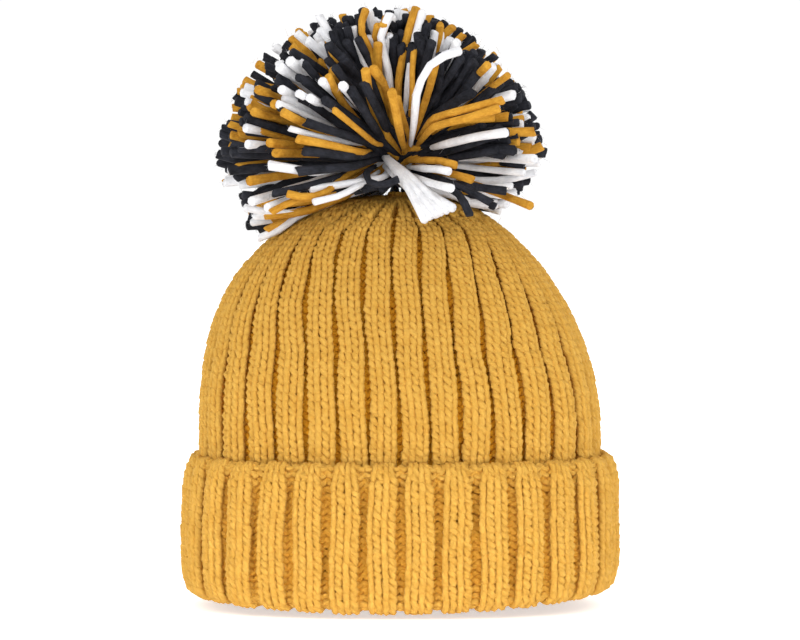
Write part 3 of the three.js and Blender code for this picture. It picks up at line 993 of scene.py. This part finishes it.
def make_pom_pom():
    """One piece for each tuft of the CAD model that has strands of its own. A tuft without any
    is stood for by the pieces of its kind."""
    random = np.random.default_rng(29)
    gathered = random_strands(random)
    for node, strands in front_strands().items():
        gathered[node] += strands
    bare = [node for node, strands in gathered.items() if not strands]
    for number, (node, strands) in enumerate(gathered.items()):
        if not strands:
            continue
        rings = [strand_rings(TIE + path, radius) for path, radius in strands]
        paths = np.array([points for points, _ in rings])
        radii = np.array([radius for _, radius in rings])
        outer_half = paths[:, PATH_POINTS // 2:]
        off_yarn = unit(random.normal(0, 1, outer_half.shape)) * radii[:, PATH_POINTS // 2:, None]
        fibres = loose_fibres((outer_half + off_yarn).reshape(-1, 3),
                              len(paths) * FIBRES_PER_STRAND, POM_FIBRE_LENGTH, POM_FIBRE,
                              500 + number)
        slot = SLOT_OF[node]
        cut = tubes(paths, radii, STRAND_SIDES, False)
        slant_the_ends(cut[0].reshape(*paths.shape[:2], STRAND_SIDES, 3), random)
        piece = make_mesh(f"{node}_strands", *joined([cut, fibres]), POM_YARN[slot])
        beside = [other for other in bare if same_kind(other, node)]
        settle(piece, "hat" if is_low(node) else "pompom", slot, node, *beside)


WINDINGS = 3
BOUND_STRANDS = 54
SPARE = 1.0  # from the edge of the CAD solid to the middle of the outermost cord or strand


def make_tie():
    """The cord, wound round the strands' middles."""
    _, reach = node_middle("tie_wrap")
    cord, in_and_out = 0.75, 0.35
    turn = turns(60 * WINDINGS)
    out = reach[0] - SPARE + in_and_out * np.sin(turn)
    path = np.stack([out * np.cos(WINDINGS * turn), 0.9 * reach[1] * np.cos(turn),
                     out * np.sin(WINDINGS * turn)], -1)
    tube_piece("tie_wrap_cord", TIE + path, cord, 8, True, TIE_CORD, "tie", "tie_cord",
               "tie_wrap")


def make_bound_middles():
    """The strands' middles, packed inside the winding as a sunflower packs its seeds."""
    random = np.random.default_rng(5)
    reach = node_box("bound_strand_middles")[1][0] - SPARE
    strand, end_spread = 0.95, 0.12
    bundles = {slot: [] for slot in COLOURS}
    along = np.linspace(-1, 1, 9)
    spread = 1 + end_spread * along * along
    for i in range(BOUND_STRANDS):
        out, turn = reach * math.sqrt((i + 0.5) / BOUND_STRANDS), i * GOLDEN_ANGLE
        slot = random.choice(list(COLOURS), p=list(COLOURS.values()))
        half = math.sqrt(max(reach * reach - out * out, 4))
        bundles[slot].append(TIE + np.stack([out * math.cos(turn) * spread, along * half,
                                             out * math.sin(turn) * spread], -1))
    for slot, paths in bundles.items():
        tube_piece(f"bound_middles_{slot[4:]}", paths, strand, 8, False, POM_YARN[slot],
                   "pompom", slot, "bound_strand_middles")


# ---- Materials ----

def linear(red, green, blue):
    """A colour in 0 to 255 as it looks on a screen, as the linear numbers a shader takes."""
    parts = np.array([red, green, blue]) / 255
    low, high = parts / 12.92, ((parts + 0.055) / 1.055) ** 2.4
    return (*np.where(parts <= 0.04045, low, high), 1.0)


def shader_node(tree, kind, inputs, **settings):
    """A new shader node. Each of its inputs is a value, or another node's output."""
    made = tree.nodes.new(f"ShaderNode{kind}")
    for name, value in settings.items():
        setattr(made, name, value)
    for name, value in inputs.items():
        if isinstance(value, bpy.types.NodeSocket):
            tree.links.new(value, made.inputs[name])
        else:
            made.inputs[name].default_value = value
    return made.outputs


def math_node(tree, operation, *inputs):
    return shader_node(tree, "Math", dict(enumerate(inputs)), operation=operation)[0]


def mixed(tree, share, first, second):
    """A mix of two colours: the first where the share is 0 and the second where it is 1."""
    return shader_node(tree, "Mix", {0: share, 6: first, 7: second}, data_type="RGBA")[2]


def bump(tree, height, depth, below=None):
    """A bump of that many millimetres, on top of the one below it."""
    inputs = {"Height": height, "Distance": depth * MM}
    if below:
        inputs["Normal"] = below
    return shader_node(tree, "Bump", inputs)[0]


def new_material(name):
    """A material with an empty node tree."""
    material = bpy.data.materials.new(name)
    material.use_nodes = True
    material.node_tree.nodes.clear()
    return material, material.node_tree


def finish_material(tree, **inputs):
    """The shader at the end of a tree. An input's name has _ for a space."""
    named = {name.replace("_", " "): value for name, value in inputs.items()}
    shader = shader_node(tree, "BsdfPrincipled", named)[0]
    shader_node(tree, "OutputMaterial", {"Surface": shader})


FIBRE_SCALE = (0.5, 14.0, 1.0)  # fibres run along the yarn, so their noise is stretched along it
PATCH_SCALE = 160.0  # patches of uneven dye, about 6 mm across
PATCH_SHARE = 0.55  # of the unevenness, the rest being the fibres'
DYE_RANGE = (0.34, 0.66)  # noise below this is all dark, and above it all light
YARN_ROUGHNESS = (0.82, 1.0)
TAPE_ROUGHNESS = (0.4, 0.6)
THREADS_SCALE = 420.0


def ranged(tree, share, limits):
    return shader_node(tree, "MapRange", {"Value": share, "To Min": limits[0],
                                          "To Max": limits[1]})[0]


def yarn_material(name, dark, light, sheen, ply_depth, ply_length, plies, fibre_depth=0.25,
                  painted_shade=None):
    """Spun yarn: plies that wind round it, loose fibres along it, and patches of uneven dye. A
    knitted yarn can also take painted shade: a warmer brown deep in the fabric, where light has
    come through the wool."""
    material, tree = new_material(name)
    yarn = shader_node(tree, "UVMap", {}, uv_map="yarn")["UV"]
    axes = shader_node(tree, "SeparateXYZ", {"Vector": yarn})
    wind = math_node(tree, "MULTIPLY_ADD", axes["X"], 1 / ply_length, axes["Y"])
    ply = math_node(tree, "COSINE", math_node(tree, "MULTIPLY", wind, FULL_TURN * plies))

    along = shader_node(tree, "Mapping", {"Vector": yarn, "Scale": FIBRE_SCALE})[0]
    fibres = shader_node(tree, "TexNoise", {"Vector": along, "Scale": 1.0, "Detail": 3.0})["Fac"]
    place = shader_node(tree, "TexCoord", {})["Object"]
    patches = shader_node(tree, "TexNoise", {"Vector": place, "Scale": PATCH_SCALE,
                                             "Detail": 2.0})["Fac"]
    patch_share = math_node(tree, "MULTIPLY", patches, PATCH_SHARE)
    dye = math_node(tree, "MULTIPLY_ADD", fibres, 1 - PATCH_SHARE, patch_share)
    colour = mixed(tree, shader_node(tree, "MapRange", {
        "Value": dye, "From Min": DYE_RANGE[0], "From Max": DYE_RANGE[1]})[0], dark, light)
    # Painted shade: mixed in by each vertex's share, kept in the depth attribute.
    if painted_shade:
        depth = shader_node(tree, "Attribute", {}, attribute_name="depth")["Fac"]
        colour = mixed(tree, depth, colour, painted_shade)
    relief = bump(tree, fibres, fibre_depth, bump(tree, ply, ply_depth))
    finish_material(tree, Base_Color=colour, Roughness=ranged(tree, fibres, YARN_ROUGHNESS),
                    Normal=relief, Sheen_Weight=sheen, Sheen_Roughness=0.45, Sheen_Tint=light,
                    Specular_IOR_Level=0.18)
    return material


def tape_material(name, light, dark):
    """A satin-woven tape: fine threads across it, one after another."""
    material, tree = new_material(name)
    place = shader_node(tree, "TexCoord", {})["Object"]
    threads = shader_node(tree, "TexWave", {"Vector": place, "Scale": THREADS_SCALE,
                                            "Distortion": 0.6}, bands_direction="Z")["Fac"]
    finish_material(tree, Base_Color=mixed(tree, threads, dark, light), Sheen_Weight=0.15,
                    Roughness=ranged(tree, threads, TAPE_ROUGHNESS),
                    Normal=bump(tree, threads, 0.1))
    return material


# After the dark and the light colour: the sheen, then the plies' depth, turn length and number.
# The knitting yarn also takes a painted shade colour for its valleys.
KNIT_YARN = yarn_material("mustard_knitting_yarn", linear(191, 143, 57), linear(203, 158, 72),
                          0.12, 0.12, 9.0, 3, painted_shade=linear(203, 140, 27))
SEAM_YARN = yarn_material("mustard_sewing_yarn", linear(176, 124, 44), linear(206, 156, 68),
                          0.2, 0.08, 4.0, 2)
TIE_CORD = yarn_material("dark_tie_cord", linear(20, 21, 26), linear(40, 42, 50),
                         0.12, 0.08, 3.0, 2)
POM_YARN = {
    "pom_navy": yarn_material("navy_pom_yarn", linear(14, 15, 19), linear(46, 47, 54),
                              0.22, 0.1, 30.0, 2, 0.5),
    "pom_white": yarn_material("white_pom_yarn", linear(208, 208, 212), linear(236, 236, 237),
                               0.15, 0.1, 30.0, 2, 0.5),
    "pom_mustard": yarn_material("mustard_pom_yarn", linear(166, 112, 28), linear(208, 154, 56),
                                 0.15, 0.1, 30.0, 2, 0.5),
}
TAPE = tape_material("label_tape", linear(246, 244, 240), linear(226, 224, 219))


# ---- Floor, light and camera ----

EXPOSURE = 0.05
FLOOR_GLOW = 0.55  # the floor is a light table, so light also comes up from below
FLOOR_REACH = 6.0  # metres, as all lengths from here on


def make_floor():
    material = bpy.data.materials.new("floor_white")
    material.use_nodes = True
    shader = material.node_tree.nodes["Principled BSDF"]
    shader.inputs["Base Color"].default_value = (0.9, 0.9, 0.9, 1)
    shader.inputs["Roughness"].default_value = 0.9
    shader.inputs["Emission Color"].default_value = (1, 1, 1, 1)
    shader.inputs["Emission Strength"].default_value = FLOOR_GLOW
    quarters = ((-1, -1), (1, -1), (1, 1), (-1, 1))
    corners = [(x * FLOOR_REACH, y * FLOOR_REACH, 0) for x, y in quarters]
    mesh = bpy.data.meshes.new("floor")
    mesh.from_pydata(corners, [], [(0, 1, 2, 3)])
    mesh.materials.append(material)
    floor = bpy.data.objects.new("floor", mesh)
    bpy.context.scene.collection.objects.link(floor)


def make_world():
    world = bpy.data.worlds.new("studio")
    world.use_nodes = True
    sky = world.node_tree.nodes["Background"]
    sky.inputs["Color"].default_value = (1, 1, 1, 1)
    sky.inputs["Strength"].default_value = 1.0
    bpy.context.scene.world = world


def aim(thing, place, target):
    thing.location = place
    thing.rotation_euler = (Vector(target) - Vector(place)).to_track_quat("-Z", "Y").to_euler()


def make_lamp(name, place, watts, target, size, strip=None, spread=math.pi):
    """A soft lamp: a disk, or a strip of that height with a grid that narrows its light."""
    light = bpy.data.lights.new(name, "AREA")
    light.shape = "RECTANGLE" if strip else "DISK"
    light.size = size
    if strip:
        light.size_y = strip
    light.spread = spread
    light.energy = watts
    lamp = bpy.data.objects.new(name, light)
    bpy.context.scene.collection.objects.link(lamp)
    aim(lamp, place, target)


def make_lamps():
    """Big soft lamps from the front and the back, and strips that light the cuff from below."""
    grid = math.radians(20)
    for name, side, low_watts, high_watts in (("left", -1, 0.072, 8.6), ("right", 1, 0.070, 8.3)):
        make_lamp(f"low_{name}", (side * 0.42, -0.85, 0.03), low_watts, (0, 0, 0), 0.6, 0.05, grid)
        make_lamp(f"key_{name}", (side * 0.9, -1.9, 1.0), high_watts, (0, 0, 0.15), 1.2)
    make_lamp("back", (0.5, 2.1, 0.5), 12, (0, 0, 0.15), 1.2)


def make_camera():
    """It looks at the front, from a little above."""
    distance, rise, seen_width = 3.0, math.radians(2.6), 0.4
    centre = (0.0, 0.0, 0.1425)
    camera = bpy.data.cameras.new("camera")
    camera.lens = camera.sensor_width * distance / seen_width
    seen = bpy.data.objects.new("camera", camera)
    bpy.context.scene.collection.objects.link(seen)
    aim(seen, (0, -distance * math.cos(rise), centre[2] + distance * math.sin(rise)), centre)
    bpy.context.scene.camera = seen


bpy.context.scene.view_settings.view_transform = "Standard"
bpy.context.scene.view_settings.exposure = EXPOSURE
make_floor()
make_world()
make_lamps()
make_camera()

make_cuff()
make_body()
make_gathering_yarn()
make_back_seam()
make_care_label()
make_anchor()
make_tie()
make_bound_middles()
make_pom_pom()

bpy.context.view_layer.update()
